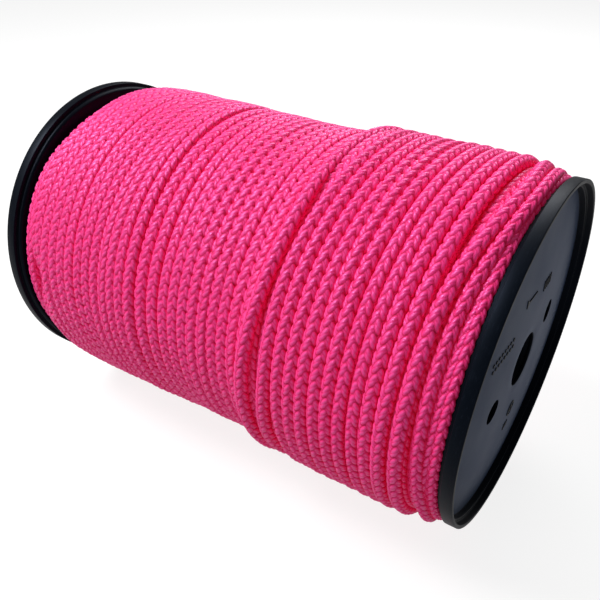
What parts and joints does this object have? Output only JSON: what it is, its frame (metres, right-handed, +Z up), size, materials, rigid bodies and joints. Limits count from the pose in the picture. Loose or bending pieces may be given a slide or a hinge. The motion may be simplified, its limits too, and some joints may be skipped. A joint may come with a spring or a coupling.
{
  "type": "cord reel",
  "caption": "Plastic reel with recessed flanges, a spindle bore and drive holes, wound full of thick braided cord",
  "frame": {"origin": "middle of the spindle bore, half way between the flanges", "axes": "+Y along the reel's axis towards the flange where the top turns begin, +Z up, +X across; the reel lies on its side"},
  "size_m": [0.223, 0.33, 0.223],
  "materials": {
    "flange_plastic": "satin moulded black polystyrene",
    "barrel_plastic": "plain moulded black polystyrene",
    "cord": "bright pink braided polypropylene yarn"
  },
  "bodies": {
    "root": {"near_flange": "flange_plastic", "far_flange": "flange_plastic", "barrel": "barrel_plastic", "spindle_sleeve": "barrel_plastic", "cord_start": "cord", "cord_inner_layers": "cord", "cord_lower_turns": "cord", "cord_top_turns": "cord"}
  },
  "joints": []
}
